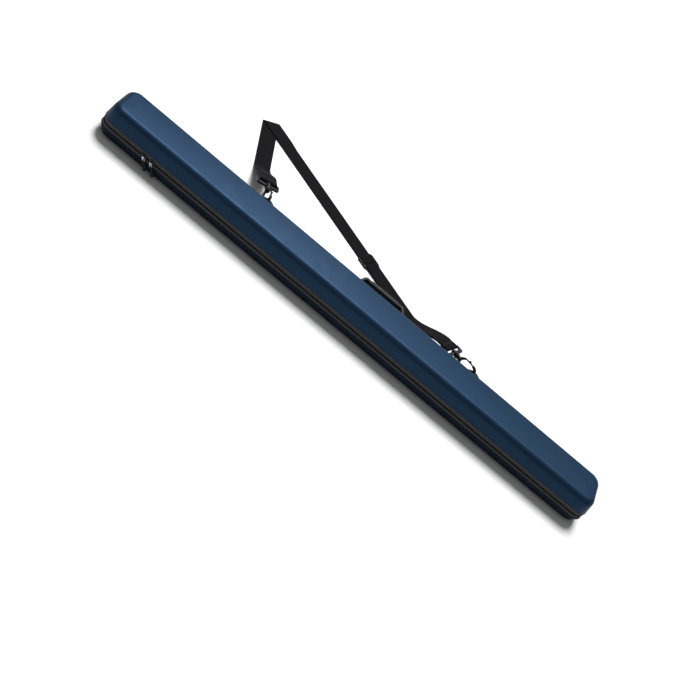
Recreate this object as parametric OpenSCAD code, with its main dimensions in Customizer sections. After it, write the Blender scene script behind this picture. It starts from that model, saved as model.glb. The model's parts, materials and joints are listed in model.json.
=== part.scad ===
// Hard-shell cue case for a jointed cue, with a zip round three sides, a carry
// handle and a clip-on shoulder strap. It lies on its back, closed.
// X runs along the case, the zip faces -Y, the spine and handle face +Y, and
// the deep front shell is on top. Z = 0 is the face that the case rests on.

/* [Case] */
// Outside length over the rims
case_length = 1200; // [1000:10:1400]
// Outside width over the rims
case_width = 100; // [96:1:110]
// Outside depth of the closed case
case_depth = 72; // [70:1:76]
// Height of the back shell's rim above its flat face
back_depth = 19; // [18:0.5:20]
// Height of the zip band between the two rims
band_height = 19; // [18:0.5:20]
// Thickness of the moulded shells
wall = 3; // [2:0.5:3.5]
// How far each side slopes in from rim to crown
draft = 3; // [1:0.5:4]
// Radius of the corners seen from the front
corner_radius = 24; // [22:1:28]
// Radius that rounds the front shell's edges
front_edge_radius = 14; // [12:1:15]
// Radius that rounds the back shell's edges
back_edge_radius = 12; // [10:1:13]

/* [Cue channels] */
// Diameter of the channel for the butt
butt_channel = 34; // [30:1:35]
// Diameter of the channel for the shaft
shaft_channel = 26; // [20:1:28]
// Length of both channels
channel_length = 1120; // [900:10:1160]

/* [Handle and strap loops] */
// Length of the handle over its end tabs
handle_length = 144; // [130:2:160]
// How far the handle stands out from the wall
handle_reach = 26; // [24:1:28]
// Width of the handle
handle_width = 20; // [16:1:20]
// Distance of the handle's middle from the case's middle
handle_offset = 26; // [-60:2:60]
// Distance between the two strap loops
loop_spacing = 530; // [400:10:700]

/* [Strap] */
// Width of the webbing
webbing_width = 38; // [30:1:38]
// Thickness of the webbing
webbing_thickness = 1.8; // [1.5:0.1:2]

/* [Hidden] */
$fn = 48;

// Small gap that keeps facing surfaces from overlapping
seat_gap = 0.05;
// Overshoot of cutting solids
cut = 1;
// Facets of a full circle inside a hull
hull_facets = 32;

front_rim = back_depth + band_height;
front_depth = case_depth - front_rim;
parting = back_depth + band_height / 2;

// The zip band, from each rim to the parting line: piping, tape, coil, gap
piping_height = 1.8;
piping_proud = 0.6;
coil_height = 1.2;
row_gap = 1;
band_inset = 0.8;
tape_thickness = 1.4;
coil_proud = 0.9;
coil_depth = 3;
zip_end = case_width / 2 - 12;

// The front shell's straight wall runs from its lip to touch the edge round;
// wall_tilt is how far it leans in from upright
lip = 1;
lip_to_round = [
    draft + front_edge_radius,
    front_depth - front_edge_radius - lip
];
wall_tilt = atan2(lip_to_round[0], lip_to_round[1])
    - asin(front_edge_radius / norm(lip_to_round));
fitting_z = 50;
fitting_y = case_width / 2 - (fitting_z - front_rim - lip) * tan(wall_tilt);

butt_y = -19;
shaft_y = 20;

// ---- Outlines and shared forms ----

module rounded_outline(length, width, radius) {
    square([length - 2 * radius, width], center = true);
    square([length, width - 2 * radius], center = true);
    for (x = [-1, 1], y = [-1, 1])
        translate([x * (length / 2 - radius), y * (width / 2 - radius)])
            circle(radius);
}

// A dished form with its rim at z = 0 and its crown at z = height
module dish(length, width, height, edge, corner) {
    hull() {
        linear_extrude(lip)
            rounded_outline(length, width, corner, $fn = hull_facets);
        for (x = [-1, 1], y = [-1, 1])
            translate([
                x * (length / 2 - draft - corner),
                y * (width / 2 - draft - corner),
                height - edge
            ])
                rotate_extrude($fn = hull_facets)
                    intersection() {
                        translate([corner - edge, 0])
                            circle(edge, $fn = hull_facets);
                        square([corner, edge]);
                    }
    }
}

module dished_shell(height, edge) {
    difference() {
        dish(case_length, case_width, height, edge, corner_radius);
        translate([0, 0, -lip / 10])
            dish(
                case_length - 2 * wall,
                case_width - 2 * wall,
                height - wall + lip / 10,
                edge - wall,
                corner_radius - wall
            );
    }
}

// A ring that follows the rims; proud is measured outwards from the rim line
module rim_ring(proud, depth, bottom, top) {
    translate([0, 0, bottom])
        linear_extrude(top - bottom)
            difference() {
                rounded_outline(
                    case_length + 2 * proud,
                    case_width + 2 * proud,
                    corner_radius + proud
                );
                rounded_outline(
                    case_length + 2 * (proud - depth),
                    case_width + 2 * (proud - depth),
                    corner_radius + proud - depth
                );
            }
}

// The zip's three sides of a rim ring: everything in front of the spine
module zip_side() {
    intersection() {
        children();
        translate([-case_length, -case_width, 0])
            cube([2 * case_length, case_width + zip_end, case_depth]);
    }
}

module channels() {
    for (c = [[butt_y, butt_channel], [shaft_y, shaft_channel]])
        translate([0, c[0], parting])
            rotate([0, 90, 0])
                cylinder(d = c[1], h = channel_length, center = true);
}

module foam_block(inset, bottom, top) {
    difference() {
        translate([0, 0, bottom])
            linear_extrude(top - bottom)
                rounded_outline(
                    case_length - 2 * inset,
                    case_width - 2 * inset,
                    corner_radius - wall
                );
        channels();
    }
}

// ---- Back half ----

module back_shell() {
    color("#26303f")
        translate([0, 0, back_depth])
            mirror([0, 0, 1])
                dished_shell(back_depth, back_edge_radius);
}

module back_foam() {
    color("#2b2b30")
        foam_block(back_edge_radius, wall + 1, parting - row_gap / 2);
}

module back_piping() {
    color("#3a3c40")
        rim_ring(piping_proud, 4, back_depth, back_depth + piping_height);
}

module lower_zip_tape() {
    color("#28282a")
        zip_side()
            rim_ring(
                -band_inset,
                tape_thickness,
                back_depth + piping_height,
                parting - row_gap / 2 - coil_height
            );
}

module lower_zip_coil() {
    color("#141416")
        zip_side()
            rim_ring(
                coil_proud - band_inset,
                coil_depth,
                parting - row_gap / 2 - coil_height,
                parting - row_gap / 2
            );
}

module spine_fabric() {
    color("#202024")
        difference() {
            rim_ring(
                -band_inset,
                tape_thickness,
                back_depth + piping_height,
                parting - row_gap / 2
            );
            translate([-case_length, -case_width, 0])
                cube([2 * case_length, case_width + zip_end + row_gap, case_depth]);
        }
}

// ---- Front half ----

module front_shell() {
    color("#3a5474")
        translate([0, 0, front_rim])
            dished_shell(front_depth, front_edge_radius);
}

module front_foam() {
    color("#2b2b30")
        foam_block(wall + draft + 2, parting + row_gap / 2, case_depth - wall - 5);
}

module front_piping() {
    color("#3a3c40")
        rim_ring(piping_proud, 4, front_rim - piping_height, front_rim);
}

module upper_zip_tape() {
    color("#28282a")
        zip_side()
            rim_ring(
                -band_inset,
                tape_thickness,
                parting + row_gap / 2 + coil_height,
                front_rim - piping_height
            );
}

module upper_zip_coil() {
    color("#141416")
        zip_side()
            rim_ring(
                coil_proud - band_inset,
                coil_depth,
                parting + row_gap / 2,
                parting + row_gap / 2 + coil_height
            );
}

// ---- Fittings on the front shell's spine wall ----

// Puts a fitting on the sloping wall: its X stays, its Y points out of the wall
module on_spine_wall(x) {
    translate([x, fitting_y, fitting_z])
        rotate([wall_tilt, 0, 0])
            translate([0, seat_gap, 0])
                children();
}

tab_thickness = 4;
tab_length = 14;
grip_thickness = 9;
leg_run = 10;
// Chamfer of the handle's top corners, and how far inside the outline its legs run
top_chamfer = 2;
leg_foot = 12;
leg_top = 8;
rivet_hole = 4.2;
rivet_shank = 4;
rivet_head = 7;
rivet_dome = 1.2;

module handle_outline() {
    end = handle_length / 2;
    leg = end - tab_length;
    top = leg - leg_run;
    polygon([
        [-end, 0], [-end, tab_thickness], [-leg, tab_thickness],
        [-top - top_chamfer, handle_reach - top_chamfer], [-top, handle_reach],
        [top, handle_reach], [top + top_chamfer, handle_reach - top_chamfer],
        [leg, tab_thickness], [end, tab_thickness], [end, 0],
        [leg - leg_foot, 0], [top - leg_top, handle_reach - grip_thickness],
        [leg_top - top, handle_reach - grip_thickness], [leg_foot - leg, 0]
    ]);
}

module rivet_places(x) {
    for (side = [-1, 1])
        translate([side * x, 0, 0])
            rotate([-90, 0, 0])
                children();
}

module rivets(x, plate) {
    rivet_places(x) {
        cylinder(d = rivet_shank, h = plate);
        translate([0, 0, plate])
            cylinder(d = rivet_head, h = rivet_dome);
    }
}

module handle_frame() {
    color("#202226")
        on_spine_wall(handle_offset)
            difference() {
                linear_extrude(handle_width, center = true)
                    handle_outline();
                rivet_places(handle_length / 2 - tab_length / 2)
                    translate([0, 0, -cut])
                        cylinder(d = rivet_hole, h = tab_thickness + 2 * cut);
            }
}

sleeve_length = 72;
sleeve_wall = 1.5;

module handle_sleeve() {
    color("#34363a")
        on_spine_wall(handle_offset)
            translate([0, handle_reach - grip_thickness / 2, 0])
                difference() {
                    cube([
                        sleeve_length,
                        grip_thickness + 2 * sleeve_wall,
                        handle_width + 2 * sleeve_wall
                    ], center = true);
                    cube([
                        sleeve_length + cut,
                        grip_thickness + 2 * seat_gap,
                        handle_width + 2 * seat_gap
                    ], center = true);
                }
}

module handle_rivets() {
    color("#1a1a1c")
        on_spine_wall(handle_offset)
            rivets(handle_length / 2 - tab_length / 2, tab_thickness);
}

loop_plate = 3;
loop_plate_length = 58;
loop_plate_width = 16;
loop_radius = 18;
loop_bar = 5;
loop_rivet_x = 25;

module strap_loop(side) {
    color("#1c1d20")
        on_spine_wall(side * loop_spacing / 2)
            difference() {
                union() {
                    rotate([-90, 0, 0])
                        linear_extrude(loop_plate)
                            rounded_outline(loop_plate_length, loop_plate_width, 4);
                    translate([0, loop_plate - 1, 0])
                        rotate_extrude()
                            translate([loop_radius, 0])
                                circle(d = loop_bar);
                }
                translate([-loop_plate_length, -case_width, -case_width / 2])
                    cube([2 * loop_plate_length, case_width, case_width]);
                rivet_places(loop_rivet_x)
                    translate([0, 0, -cut])
                        cylinder(d = rivet_hole, h = loop_plate + 2 * cut);
            }
}

module left_strap_loop() {
    strap_loop(-1);
}

module right_strap_loop() {
    strap_loop(1);
}

module loop_rivets() {
    color("#1a1a1c")
        for (side = [-1, 1])
            on_spine_wall(side * loop_spacing / 2)
                rivets(loop_rivet_x, loop_plate);
}

// ---- Zip sliders and pulls ----

slider_length = 11;
slider_height = 9;
slider_plate = 1.3;
slider_web = 0.5;
slider_clear = 0.5;
left_slider_x = -494;
right_slider_x = -476;
coil_face = -case_width / 2 + band_inset - coil_proud;
outer_plate_y = coil_face - slider_clear;
pull_pivot_y = outer_plate_y - slider_plate - 2.4;
pull_pivot_z = parting;
post_diameter = 1.8;
post_arm = 1.6;
post_arm_height = 1;
pull_drop = 52;

// Two plates either side of the coils, a web between them and a bridge outside
module slider(x) {
    color("#1f2022")
        translate([x, 0, parting]) {
            translate([0, outer_plate_y - slider_plate / 2, 0])
                cube([slider_length, slider_plate, slider_height], center = true);
            translate([0, coil_face + coil_depth + slider_clear + slider_plate / 2, 0])
                cube([slider_length, slider_plate, slider_height], center = true);
            translate([0, coil_face + coil_depth / 2, 0])
                cube([
                    slider_length / 3,
                    coil_depth + 2 * slider_clear + slider_plate,
                    slider_web
                ], center = true);
            translate([0, pull_pivot_y, 0])
                cylinder(
                    d = post_diameter,
                    h = slider_height - post_arm_height,
                    center = true
                );
            for (end = [-1, 1])
                translate([
                    0,
                    (pull_pivot_y + outer_plate_y - slider_plate) / 2,
                    end * (slider_height - post_arm_height) / 2
                ])
                    cube([
                        post_arm,
                        outer_plate_y - slider_plate - pull_pivot_y + post_diameter,
                        post_arm_height
                    ], center = true);
        }
}

module left_slider() {
    slider(left_slider_x);
}

module right_slider() {
    slider(right_slider_x);
}

knuckle_diameter = 4;
knuckle_height = 4.6;
knuckle_bore = 2.4;
link_width = 2.4;
tab_start = 7;
tab_end = 28;
tab_root = 5;
tab_tip = 8;
pull_thickness = 2;

// Puts a pull on its slider, hanging down and towards +X in the plane of the wall
module at_pull(x) {
    translate([x, pull_pivot_y, pull_pivot_z])
        rotate([90, pull_drop, 0])
            children();
}

// A knuckle round the slider's post and a flat stem down to the moulded tab
module pull_link(x) {
    color("#b9bcc0")
        difference() {
            union() {
                translate([x, pull_pivot_y, pull_pivot_z])
                    cylinder(d = knuckle_diameter, h = knuckle_height, center = true);
                at_pull(x)
                    translate([tab_start / 2, 0, 0])
                        cube([tab_start, link_width, pull_thickness - 0.4], center = true);
            }
            translate([x, pull_pivot_y, pull_pivot_z])
                cylinder(d = knuckle_bore, h = slider_height, center = true);
        }
}

module pull_tab(x) {
    color("#26262a")
        at_pull(x)
            linear_extrude(pull_thickness, center = true)
                polygon([
                    [tab_start + seat_gap, -tab_root / 2],
                    [tab_end - 2, -tab_tip / 2],
                    [tab_end, -tab_tip / 2 + 2],
                    [tab_end, tab_tip / 2 - 2],
                    [tab_end - 2, tab_tip / 2],
                    [tab_start + seat_gap, tab_root / 2]
                ]);
}

module left_pull_link() {
    pull_link(left_slider_x);
}

module right_pull_link() {
    pull_link(right_slider_x);
}

module left_pull_tab() {
    pull_tab(left_slider_x);
}

module right_pull_tab() {
    pull_tab(right_slider_x);
}

// ---- Route of the strap, which lies on the floor with one fold ----

// Where the middle of the strap folds
fold_point = [-369, 377];
// How far round its loop each hook hangs, from +X
left_hook_angle = 106;
right_hook_angle = 125;
// How far from each hook's end the strap comes down to the floor
touch_down = 172;
floor_gap = 0.1;
webbing_gap = 0.4;
// Clearance that lets a ring drop past the end of its webbing as the case opens
ring_clear = 3;

// The point on a loop's bar where its hook hangs
function loop_point(side) =
    let (
        angle = side < 0 ? left_hook_angle : right_hook_angle,
        out = loop_plate - 1 + loop_radius * sin(angle)
    )
    [
        side * loop_spacing / 2 + loop_radius * cos(angle),
        fitting_y + out * cos(wall_tilt),
        fitting_z + out * sin(wall_tilt)
    ];

function loop_foot(side) = [loop_point(side)[0], loop_point(side)[1]];

// Heading of the strap's leg from a hook to the fold, from +X
function strap_heading(side) =
    let (run = fold_point - loop_foot(side))
    atan2(run[1], run[0]);

// A point on the strap's leg, by its distance from the loop and its side offset
function leg_point(side, distance, offset) =
    let (heading = strap_heading(side))
    loop_foot(side)
        + distance * [cos(heading), sin(heading)]
        + offset * [-sin(heading), cos(heading)];

// A point on the crease, by its side offset from a leg's middle line
function crease_point(side, offset) =
    let (
        crease = (strap_heading(-1) + strap_heading(1) - 180) / 2,
        along = offset / sin(crease - strap_heading(side))
    )
    fold_point + along * [cos(crease), sin(crease)];

// ---- Snap hooks ----

hook_eye = 16;
hook_rim = 5;
hook_thickness = 5;
hook_slot = 20;
boss_start = hook_slot + hook_eye / 2;
boss_length = 14;
ring_start = boss_start + boss_length + 1;
ring_length = 19;
ring_width = webbing_width + 12;
ring_bar = 4.5;
ring_web = 7.5;
ring_thickness = 5;
ring_boss = 12;
swivel_pin = 6;
swivel_bore = 6.8;
swivel_head = 9;
swivel_cap = 3;
hook_boss = 13;
hook_roll = 112;
hook_pitch = 6;
// The gate's window: where it starts along the slot, and how far it cuts in
gate_start = 2;
gate_cut = 2;
gate_inset = 0.8;
gate_width = 3.6;
gate_gap = 0.4;

// Puts a hook's parts on a loop: X along the hook from the bar to the strap
module at_loop(side) {
    translate(loop_point(side))
        rotate([0, hook_pitch, strap_heading(side)])
            children();
}

module slot_outline(length, width) {
    for (x = [0, length])
        translate([x, 0])
            circle(d = width);
    translate([0, -width / 2])
        square([length, width]);
}

// The side of the hook that the gate closes
module gate_window() {
    translate([gate_start, hook_eye / 2 - gate_cut])
        square([hook_slot, hook_rim + gate_cut + cut]);
}

module snap_hook(side) {
    color("#18191b")
        at_loop(side)
            rotate([hook_roll, 0, 0]) {
                linear_extrude(hook_thickness, center = true)
                    difference() {
                        slot_outline(hook_slot, hook_eye + 2 * hook_rim);
                        slot_outline(hook_slot, hook_eye);
                        gate_window();
                    }
                translate([boss_start + boss_length / 2, 0, 0])
                    rotate([0, 90, 0])
                        cylinder(d = hook_boss, h = boss_length, center = true);
                translate([boss_start + boss_length - cut, 0, 0])
                    rotate([0, 90, 0])
                        cylinder(d = swivel_pin, h = ring_web + swivel_cap);
                translate([ring_start + ring_web + webbing_gap, 0, 0])
                    rotate([0, 90, 0])
                        cylinder(d = swivel_head, h = swivel_cap);
            }
}

module hook_gate(side) {
    color("#232427")
        at_loop(side)
            rotate([hook_roll, 0, 0])
                translate([gate_start + gate_gap, hook_eye / 2 + gate_inset, 0])
                    linear_extrude(hook_thickness - 1, center = true)
                        square([hook_slot - 2 * gate_gap, gate_width]);
}

// A rectangular ring: a thin bar for the webbing, a deep one bored for the swivel
module strap_ring(side) {
    color("#18191b")
        at_loop(side)
            translate([ring_start, 0, 0])
                difference() {
                    union() {
                        translate([ring_length / 2, 0, 0])
                            linear_extrude(ring_thickness, center = true)
                                rounded_outline(ring_length, ring_width, 4);
                        rotate([0, 90, 0])
                            cylinder(d = ring_boss, h = ring_web);
                    }
                    translate([ring_web, -webbing_width / 2 - 1.5, -ring_thickness])
                        cube([
                            ring_length - ring_bar - ring_web,
                            webbing_width + 3,
                            2 * ring_thickness
                        ]);
                    translate([-cut, 0, 0])
                        rotate([0, 90, 0])
                            cylinder(d = swivel_bore, h = ring_web + 2 * cut);
                }
}

module left_snap_hook() {
    snap_hook(-1);
}

module right_snap_hook() {
    snap_hook(1);
}

module left_hook_gate() {
    hook_gate(-1);
}

module right_hook_gate() {
    hook_gate(1);
}

module left_strap_ring() {
    strap_ring(-1);
}

module right_strap_ring() {
    strap_ring(1);
}

// ---- Shoulder strap ----

adjuster_middle = 314;
adjuster_length = 30;
adjuster_width = webbing_width + 8;
adjuster_thickness = 4;
adjuster_slot = 7;

// Webbing from a ring down to the floor
module webbing_ramp(side, thickness) {
    hull() {
        at_loop(side)
            translate([
                ring_start + ring_length + ring_clear,
                -webbing_width / 2,
                -thickness / 2
            ])
                cube([1, webbing_width, thickness]);
        translate(leg_point(side, touch_down, 0))
            rotate(strap_heading(side))
                translate([0, -webbing_width / 2, floor_gap])
                    cube([1, webbing_width, thickness]);
    }
}

// Webbing flat on the floor between two distances from a loop
module webbing_flat(side, start, end, thickness) {
    translate([0, 0, floor_gap])
        linear_extrude(thickness)
            polygon([
                leg_point(side, start, -webbing_width / 2),
                leg_point(side, start, webbing_width / 2),
                leg_point(side, end, webbing_width / 2),
                leg_point(side, end, -webbing_width / 2)
            ]);
}

// Webbing flat on the floor from a distance from a loop to the crease
module webbing_to_crease(side, start) {
    translate([0, 0, floor_gap])
        linear_extrude(webbing_thickness)
            polygon([
                leg_point(side, start, -webbing_width / 2),
                leg_point(side, start, webbing_width / 2),
                crease_point(side, webbing_width / 2),
                crease_point(side, -webbing_width / 2)
            ]);
}

module main_webbing() {
    color("#151518") {
        webbing_ramp(-1, webbing_thickness);
        webbing_to_crease(-1, touch_down);
        webbing_to_crease(1, adjuster_middle + adjuster_length / 2 + webbing_gap);
    }
}

// The doubled end that runs from the adjuster round the right ring's bar
module short_webbing() {
    color("#151518") {
        webbing_ramp(1, 2 * webbing_thickness);
        webbing_flat(
            1,
            touch_down + 0.5,
            adjuster_middle - adjuster_length / 2 - webbing_gap,
            2 * webbing_thickness
        );
    }
}

module strap_adjuster() {
    color("#1a1b1d")
        translate(concat(leg_point(1, adjuster_middle, 0), floor_gap))
            rotate(strap_heading(1))
                linear_extrude(adjuster_thickness)
                    difference() {
                        rounded_outline(adjuster_length, adjuster_width, 4);
                        for (side = [-1, 1])
                            translate([side * (adjuster_slot + 4) / 2, 0])
                                square([adjuster_slot, webbing_width + 2], center = true);
                    }
}

back_shell();
back_foam();
back_piping();
lower_zip_tape();
lower_zip_coil();
spine_fabric();
front_shell();
front_foam();
front_piping();
upper_zip_tape();
upper_zip_coil();
handle_frame();
handle_sleeve();
handle_rivets();
left_strap_loop();
right_strap_loop();
loop_rivets();
left_slider();
right_slider();
left_pull_link();
right_pull_link();
left_pull_tab();
right_pull_tab();
left_strap_ring();
right_strap_ring();
left_snap_hook();
right_snap_hook();
left_hook_gate();
right_hook_gate();
main_webbing();
short_webbing();
strap_adjuster();
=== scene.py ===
import json
from math import atan2, asin, ceil, cos, hypot, pi, radians, sin, sqrt

import bmesh
import bpy
from mathutils import Matrix, Vector


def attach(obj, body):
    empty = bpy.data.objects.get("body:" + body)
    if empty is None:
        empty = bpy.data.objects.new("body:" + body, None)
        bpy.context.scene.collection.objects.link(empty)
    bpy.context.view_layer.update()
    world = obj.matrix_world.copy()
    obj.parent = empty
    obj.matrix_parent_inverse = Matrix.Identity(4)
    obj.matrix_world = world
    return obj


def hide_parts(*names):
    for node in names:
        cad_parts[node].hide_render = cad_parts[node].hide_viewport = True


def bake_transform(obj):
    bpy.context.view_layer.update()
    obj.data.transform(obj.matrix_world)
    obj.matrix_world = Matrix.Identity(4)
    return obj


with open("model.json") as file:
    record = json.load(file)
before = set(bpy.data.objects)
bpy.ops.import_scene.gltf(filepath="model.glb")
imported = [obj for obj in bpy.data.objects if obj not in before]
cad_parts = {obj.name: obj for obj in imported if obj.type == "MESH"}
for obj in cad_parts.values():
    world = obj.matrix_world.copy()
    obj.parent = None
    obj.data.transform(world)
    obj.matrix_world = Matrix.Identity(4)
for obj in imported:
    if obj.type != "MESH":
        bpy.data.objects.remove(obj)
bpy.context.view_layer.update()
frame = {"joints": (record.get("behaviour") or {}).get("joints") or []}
joints = {joint["name"]: joint for joint in frame["joints"]}
MM = 0.001

# ---- Sizes, in millimetres, the same as the CAD model's ----

HALF_LENGTH, HALF_WIDTH, CORNER = 600, 50, 24
BACK_RIM, FRONT_RIM, DEPTH = 19, 38, 72
PARTING = (BACK_RIM + FRONT_RIM) / 2
WALL, DRAFT, LIP = 3, 3, 1
FRONT_EDGE, BACK_EDGE = 14, 12
PIPING, INSET, TAPE = 1.8, 0.8, 1.4
ROW_GAP, COIL_HEIGHT, COIL_PROUD = 1, 1.2, 0.9
ZIP_END = HALF_WIDTH - 12
WEBBING, WEB_THICK = 38, 1.8
RING_START, RING_LENGTH, RING_WIDTH, RING_BAR, RING_WEB = 43, 19, 50, 4.5, 7.5
EYE_RADIUS = 10.5
TOUCH_DOWN, ADJUSTER = 172, 314

SIDES = (("left", -1), ("right", 1))


def wall_tilt(height, edge):
    """How far a shell's wall leans inwards between its rim and its round edge."""
    across, up = DRAFT + edge, height - edge - LIP
    return atan2(across, up) - asin(edge / hypot(across, up))


TILT = wall_tilt(DEPTH - FRONT_RIM, FRONT_EDGE)
FITTING_Z = 50
FITTING_Y = HALF_WIDTH - (FITTING_Z - FRONT_RIM - LIP) * sin(TILT) / cos(TILT)


# ---- Materials ----

class Surface:
    """A material with one Principled shader, and the nodes that feed it."""

    def __init__(self, name, colour, roughness, **sockets):
        self.material = bpy.data.materials.new(name)
        self.material.use_nodes = True
        self.tree = self.material.node_tree
        self.shader = self.tree.nodes["Principled BSDF"]
        self.colour = colour
        self.shader.inputs["Base Color"].default_value = (*colour, 1)
        self.shader.inputs["Roughness"].default_value = roughness
        for socket, value in sockets.items():
            self.shader.inputs[socket.replace("_", " ")].default_value = value
        self.place = self.node("ShaderNodeTexCoord").outputs["Object"]

    def node(self, kind, settings=None, **links):
        made = self.tree.nodes.new(kind)
        for key, value in (settings or {}).items():
            setattr(made, key, value)
        for socket, value in links.items():
            numbered = socket[0] == "i" and socket[1:].isdigit()
            target = made.inputs[int(socket[1:]) if numbered else socket.replace("_", " ")]
            if isinstance(value, bpy.types.NodeSocket):
                self.tree.links.new(value, target)
            else:
                target.default_value = value
        return made

    def lay(self):
        """Takes places from the ribbon's own offset and length, not from space."""
        self.place = self.node("ShaderNodeAttribute", {"attribute_name": "lay"}).outputs["Vector"]

    def stretch(self, scale):
        return self.node("ShaderNodeMapping", Vector=self.place, Scale=scale).outputs["Vector"]

    def noise(self, scale, detail=3, stretch=(1, 1, 1)):
        made = self.node("ShaderNodeTexNoise", Vector=self.stretch(stretch), Scale=scale, Detail=detail)
        return made.outputs["Fac"]

    def cells(self, scale):
        made = self.node(
            "ShaderNodeTexVoronoi", {"feature": "DISTANCE_TO_EDGE"}, Vector=self.place, Scale=scale)
        return made.outputs["Distance"]

    def bands(self, scale, axis, distortion=0):
        made = self.node(
            "ShaderNodeTexWave", {"bands_direction": axis}, Vector=self.place, Scale=scale,
            Distortion=distortion)
        return made.outputs["Fac"]

    def math(self, operation, a, b):
        return self.node("ShaderNodeMath", {"operation": operation}, i0=a, i1=b).outputs[0]

    def span(self, value, low, high, out_low=0, out_high=1):
        made = self.node("ShaderNodeMapRange", Value=value, From_Min=low, From_Max=high,
                         To_Min=out_low, To_Max=out_high)
        return made.outputs["Result"]

    def tint(self, share, other):
        """Mixes another colour in where share is 1."""
        mix = self.node("ShaderNodeMix", {"data_type": "RGBA"}, i0=share, i6=(*self.colour, 1),
                        i7=(*other, 1))
        socket = self.shader.inputs["Base Color"]
        if socket.is_linked:
            self.tree.links.new(socket.links[0].from_socket, mix.inputs[6])
        self.tree.links.new(mix.outputs[2], socket)

    def rough(self, value):
        self.tree.links.new(value, self.shader.inputs["Roughness"])

    def bump(self, height, distance, strength=1.0):
        socket = self.shader.inputs["Normal"]
        made = self.node("ShaderNodeBump", Height=height, Distance=distance, Strength=strength)
        if socket.is_linked:
            self.tree.links.new(socket.links[0].from_socket, made.inputs["Normal"])
        self.tree.links.new(made.outputs["Normal"], socket)


def skin(name, colour, light, dark, metallic):
    """Satin coated skin: fine pebbled grain, soft mottling, rubbed specks."""
    s = Surface(name, colour, 0.45, Metallic=metallic, Specular_IOR_Level=0.05)
    s.tint(s.span(s.noise(5, 4, (0.25, 1, 1)), 0.35, 0.75, 0, 0.5), light)
    s.tint(s.span(s.noise(60, 5), 0.55, 0.8, 0, 0.25), dark)
    s.tint(s.span(s.noise(420, 2), 0.72, 0.8, 0, 0.35), light)
    s.rough(s.span(s.noise(40, 4), 0.3, 0.7, 0.4, 0.5))
    s.bump(s.span(s.cells(1500), 0, 0.3), 0.00005, 0.35)
    s.bump(s.noise(2600, 2), 0.00003, 0.3)
    return s.material


def moulded(name, colour, light, roughness=0.45, grain=1800, depth=0.00005):
    """Moulded plastic or rubber with a spark-eroded grain and rubbed marks."""
    s = Surface(name, colour, roughness, Specular_IOR_Level=0.18)
    s.tint(s.span(s.noise(90, 4), 0.5, 0.8, 0, 0.4), light)
    s.rough(s.span(s.noise(150, 3), 0.3, 0.7, roughness - 0.07, roughness + 0.1))
    s.bump(s.noise(grain, 3), depth, 0.6)
    return s.material


def metal(name, colour, roughness, metallic=1.0):
    """Plated or enamelled metal with fine scratches."""
    s = Surface(name, colour, roughness, Metallic=metallic)
    s.rough(s.span(s.noise(400, 4, (1, 8, 8)), 0.3, 0.7, roughness - 0.08, roughness + 0.14))
    s.tint(s.span(s.noise(200, 3), 0.55, 0.8, 0, 0.3), tuple(c * 0.6 for c in colour))
    s.bump(s.noise(900, 3, (1, 6, 6)), 0.00002, 0.3)
    return s.material


def woven(name, colour, light, across, along, laid=False, depth=0.00012):
    """Cloth with ribs across and yarns along, and a little fluff."""
    s = Surface(name, colour, 0.82, Sheen_Weight=0.01, Sheen_Roughness=0.5, Specular_IOR_Level=0.08)
    if laid:
        s.lay()
    ribs = s.bands(along, "Y" if laid else "X", 0.4)
    yarns = s.bands(across, "X" if laid else "Z", 0.4)
    weave = s.math("MULTIPLY", ribs, yarns)
    s.tint(s.span(weave, 0.2, 0.9, 0, 0.7), light)
    s.tint(s.span(s.noise(700, 4), 0.55, 0.8, 0, 0.4), light)
    s.bump(weave, depth, 0.8)
    s.bump(s.noise(2500, 3), 0.00004, 0.4)
    return s.material


def flock():
    """Flocked foam: a velvety nap with brushed patches."""
    s = Surface("flocked_foam", (0.02, 0.02, 0.024), 0.95, Sheen_Weight=0.6, Sheen_Roughness=0.4)
    s.tint(s.span(s.noise(18, 5), 0.4, 0.7, 0, 0.6), (0.035, 0.035, 0.042))
    s.bump(s.noise(3000, 4), 0.0002, 0.7)
    s.bump(s.noise(120, 4), 0.0003, 0.3)
    return s.material


BLUE = skin("front_skin", (0.0108, 0.0301, 0.0637), (0.0144, 0.0379, 0.0764), (0.0076, 0.0224, 0.0489), 0.4)
NAVY = skin("back_skin", (0.011, 0.02, 0.036), (0.017, 0.03, 0.052), (0.007, 0.013, 0.026), 0.35)
CORD = moulded("piping_vinyl", (0.1, 0.104, 0.115), (0.15, 0.155, 0.165), 0.4)
DARK_CORD = moulded("back_piping_vinyl", (0.016, 0.018, 0.022), (0.035, 0.038, 0.044), 0.4)
CLOTH_TAPE = woven("zip_tape_cloth", (0.045, 0.045, 0.047), (0.11, 0.106, 0.104), 420, 420)
TEETH = moulded("zip_teeth", (0.01, 0.01, 0.011), (0.03, 0.03, 0.032), 0.35)
SPINE = woven("spine_cloth", (0.008, 0.008, 0.01), (0.022, 0.022, 0.026), 300, 300)
WEB = woven("strap_webbing", (0.002, 0.002, 0.003), (0.007, 0.007, 0.01), 260, 190, True, 0.0003)
THREAD = woven("stitch_thread", (0.05, 0.05, 0.056), (0.1, 0.1, 0.11), 1500, 1500)
FRAME_PLASTIC = moulded("handle_plastic", (0.009, 0.01, 0.012), (0.024, 0.025, 0.028))
GRIP = moulded("grip_rubber", (0.03, 0.031, 0.035), (0.06, 0.062, 0.068), 0.6, 1100, 0.00012)
HOOK = moulded("hook_plastic", (0.005, 0.005, 0.006), (0.016, 0.016, 0.018), 0.38)
TAB = moulded("pull_rubber", (0.01, 0.01, 0.012), (0.035, 0.035, 0.04), 0.6, 1000, 0.00015)
ENAMEL = metal("slider_enamel", (0.03, 0.03, 0.034), 0.35, 0.6)
BRIGHT = metal("bright_link", (0.75, 0.76, 0.78), 0.22)
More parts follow.
